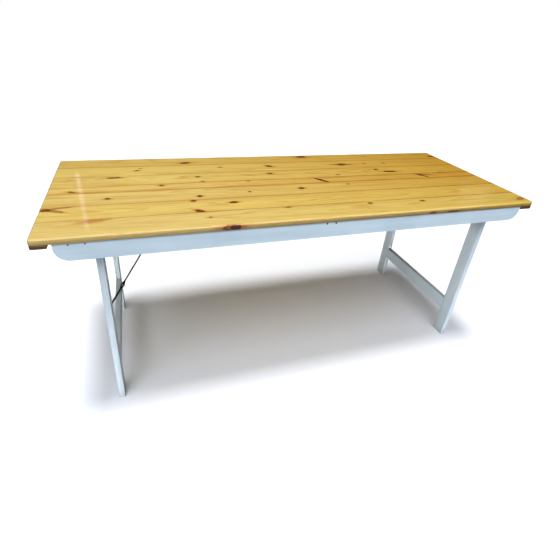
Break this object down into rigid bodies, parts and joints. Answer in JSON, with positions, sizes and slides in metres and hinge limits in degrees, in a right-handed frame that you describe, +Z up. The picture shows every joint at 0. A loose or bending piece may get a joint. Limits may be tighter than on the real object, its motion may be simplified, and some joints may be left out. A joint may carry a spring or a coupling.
{
  "type": "folding table",
  "caption": "Long folding table with a boarded varnished pine top, painted aprons and two painted leg frames that fold in under the top on hinges, held by jointed steel stays.",
  "frame": {"origin": "on the floor under the middle of the table top", "axes": "+X along the length, +Y from the front apron to the back apron, +Z up"},
  "size_m": [1.83, 0.696, 0.725],
  "materials": {
    "varnished_pine": "knotty pine under clear gloss varnish",
    "painted_wood": "brush-painted pale blue-white, satin",
    "bare_pine": "planed and unfinished",
    "beech_dowel": "plain",
    "stay_steel": "dark drawn mild steel",
    "zinc_steel": "dull zinc plate"
  },
  "bodies": {
    "table_top": {"apron_nails": "stay_steel", "back_apron": "painted_wood", "bearer_screws": "zinc_steel", "end_batten_screws": "zinc_steel", "front_apron": "painted_wood", "hinge_bearer_screws": "zinc_steel", "left_back_hinge_fixed_leaf": "zinc_steel", "left_end_batten": "varnished_pine", "left_front_hinge_fixed_leaf": "zinc_steel", "left_hinge_bearer": "bare_pine", "left_hinge_pins": "zinc_steel", "left_stay_bracket": "stay_steel", "left_stay_top_rivet": "zinc_steel", "middle_batten": "bare_pine", "middle_batten_screws": "zinc_steel", "right_back_hinge_fixed_leaf": "zinc_steel", "right_end_batten": "varnished_pine", "right_front_hinge_fixed_leaf": "zinc_steel", "right_hinge_bearer": "bare_pine", "right_hinge_pins": "zinc_steel", "right_stay_bracket": "stay_steel", "right_stay_top_rivet": "zinc_steel", "stay_bracket_screws": "zinc_steel", "top_board_1": "varnished_pine", "top_board_2": "varnished_pine", "top_board_3": "varnished_pine", "top_board_4": "varnished_pine", "top_board_5": "varnished_pine", "top_board_6": "varnished_pine", "top_board_7": "varnished_pine"},
    "left_leg_frame": {"left_back_hinge_moving_leaf": "zinc_steel", "left_back_leg": "painted_wood", "left_frame_dowels": "beech_dowel", "left_front_hinge_moving_leaf": "zinc_steel", "left_front_leg": "painted_wood", "left_hinge_rail_screws": "zinc_steel", "left_stay_leg_screw": "zinc_steel", "left_stay_washer": "zinc_steel", "left_stretcher": "painted_wood", "left_top_rail": "painted_wood"},
    "left_upper_stay": {"left_elbow_rivet_head": "zinc_steel", "left_stay_upper_arm": "stay_steel"},
    "left_lower_stay": {"left_elbow_rivet_tail": "zinc_steel", "left_stay_lower_arm": "stay_steel"},
    "right_leg_frame": {"right_back_hinge_moving_leaf": "zinc_steel", "right_back_leg": "painted_wood", "right_frame_dowels": "beech_dowel", "right_front_hinge_moving_leaf": "zinc_steel", "right_front_leg": "painted_wood", "right_hinge_rail_screws": "zinc_steel", "right_stay_leg_screw": "zinc_steel", "right_stay_washer": "zinc_steel", "right_stretcher": "painted_wood", "right_top_rail": "painted_wood"},
    "right_upper_stay": {"right_elbow_rivet_head": "zinc_steel", "right_stay_upper_arm": "stay_steel"},
    "right_lower_stay": {"right_elbow_rivet_tail": "zinc_steel", "right_stay_lower_arm": "stay_steel"}
  },
  "joints": [
    {"name": "left_leg_fold", "type": "hinge", "parent": "table_top", "child": "left_leg_frame", "pos_m": [-0.7345, 0, 0.684], "axis": [0, -1, 0], "range_deg": [0, 90]},
    {"name": "left_upper_stay_pivot", "type": "hinge", "parent": "table_top", "child": "left_upper_stay", "pos_m": [-0.57664, -0.2305, 0.6695], "axis": [0, -1, 0], "range_deg": [0, 121.6]},
    {"name": "left_lower_stay_pivot", "type": "hinge", "parent": "left_leg_frame", "child": "left_lower_stay", "pos_m": [-0.749, -0.2405, 0.3884], "axis": [0, -1, 0], "range_deg": [-148.6, 0]},
    {"name": "right_leg_fold", "type": "hinge", "parent": "table_top", "child": "right_leg_frame", "pos_m": [0.7345, 0, 0.684], "axis": [0, 1, 0], "range_deg": [0, 90]},
    {"name": "right_upper_stay_pivot", "type": "hinge", "parent": "table_top", "child": "right_upper_stay", "pos_m": [0.57664, 0.2305, 0.6695], "axis": [0, 1, 0], "range_deg": [0, 121.6]},
    {"name": "right_lower_stay_pivot", "type": "hinge", "parent": "right_leg_frame", "child": "right_lower_stay", "pos_m": [0.749, 0.2405, 0.3884], "axis": [0, 1, 0], "range_deg": [-148.6, 0]}
  ],
  "couplings": [
    {"joint": "left_upper_stay_pivot", "follows": "left_leg_fold", "ratio": 1.3502},
    {"joint": "left_lower_stay_pivot", "follows": "left_leg_fold", "ratio": -1.6498},
    {"joint": "right_upper_stay_pivot", "follows": "right_leg_fold", "ratio": 1.3502},
    {"joint": "right_lower_stay_pivot", "follows": "right_leg_fold", "ratio": -1.6498}
  ]
}
